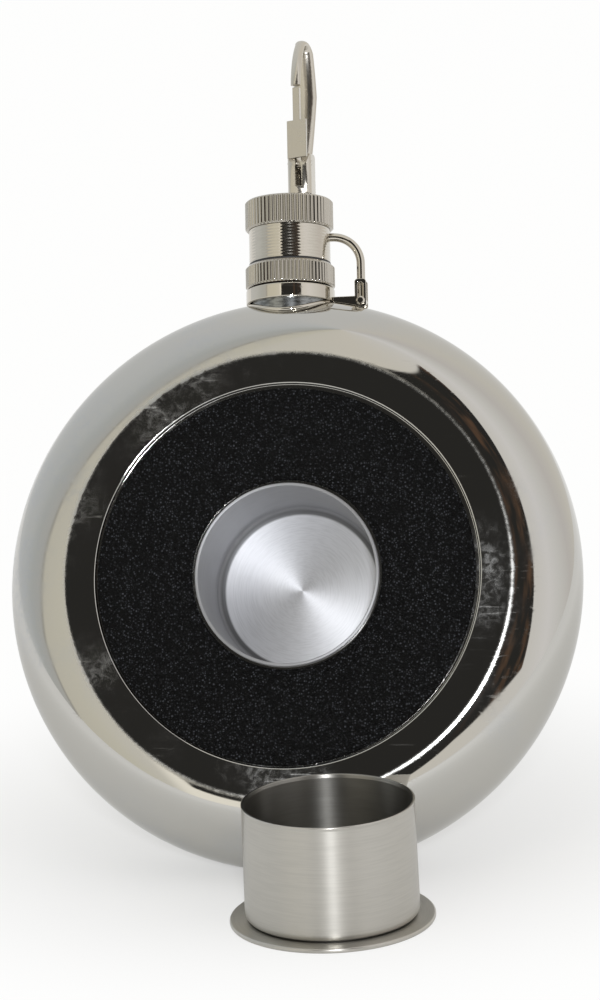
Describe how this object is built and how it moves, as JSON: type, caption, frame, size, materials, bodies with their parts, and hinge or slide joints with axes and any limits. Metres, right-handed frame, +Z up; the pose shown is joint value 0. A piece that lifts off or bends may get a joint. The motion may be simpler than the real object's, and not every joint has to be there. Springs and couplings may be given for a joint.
{
  "type": "pilgrim flask with stowing cup",
  "caption": "Round steel flask leaning back on its edge, with a leather ring and a cup-shaped well in its face, a hinged screw cap carrying a snap hook, and a drinking cup standing in front.",
  "frame": {"origin": "middle of the body's flat back face, as the flask leans back on its round edge", "axes": "+Z up from the floor, +Y back and -Y out of the front towards the cup, +X to the right as seen from the front"},
  "size_m": [0.108, 0.1118, 0.1451],
  "materials": {
    "polished_steel": "mirror polished stainless steel",
    "brushed_steel": "satin, brushed round",
    "spun_steel": "satin, with fine spun rings",
    "leather": "black, fine pebble grain",
    "seal_rubber": "matt, pale",
    "washer_plastic": "matt, black"
  },
  "bodies": {
    "flask": {"front_shell": "polished_steel", "back_shell": "polished_steel", "cup_well": "spun_steel", "leather_ring": "leather", "neck_tube": "polished_steel", "neck_collar": "polished_steel", "arm_bracket": "polished_steel"},
    "pin": {"hinge_pin": "polished_steel"},
    "arm": {"captive_arm": "polished_steel", "swivel_sleeve": "polished_steel"},
    "cap": {"cap_barrel": "polished_steel", "cap_lower_ring": "polished_steel", "cap_crown": "polished_steel", "seal_disc": "seal_rubber", "sleeve_washer": "washer_plastic"},
    "hook": {"hook_body": "polished_steel", "gate_pin": "polished_steel", "gate_spring": "brushed_steel", "hook_rivet": "polished_steel"},
    "gate": {"hook_gate": "polished_steel"},
    "cup": {"cup_body": "brushed_steel", "cup_base": "brushed_steel"}
  },
  "joints": [
    {"name": "arm_lift", "type": "slide", "parent": "flask", "child": "pin", "axis": [-0.0384, 0.4223, 0.9056], "range_m": [0, 0.003]},
    {"name": "arm_swing", "type": "hinge", "parent": "pin", "child": "arm", "pos_m": [0.01144, 0.01192, 0.05396], "axis": [0, 0.9063, -0.4226], "range_deg": [0, 100]},
    {"name": "cap_turn", "type": "hinge", "parent": "arm", "child": "cap", "pos_m": [-0.00282, 0.02015, 0.0716], "axis": [-0.0384, 0.4223, 0.9056], "range_deg": [0, 720]},
    {"name": "hook_swivel", "type": "hinge", "parent": "cap", "child": "hook", "pos_m": [-0.00282, 0.02015, 0.0716], "axis": [-0.0384, 0.4223, 0.9056], "continuous": true},
    {"name": "gate_press", "type": "hinge", "parent": "hook", "child": "gate", "pos_m": [-0.00061, 0.02146, 0.07886], "axis": [-0.9955, 0.0628, -0.0715], "range_deg": [0, 18], "stiffness_Nm_per_rad": 0.05, "springref_deg": -5.73, "deforming": ["gate_spring"]},
    {"name": "cup_lift", "type": "slide", "parent": "flask", "child": "cup", "axis": [0, -0.6, 0.8], "range_m": [0, 0.08]}
  ],
  "couplings": [
    {"joint": "arm_lift", "follows": "cap_turn", "m_per_rad": 0.00023873}
  ]
}
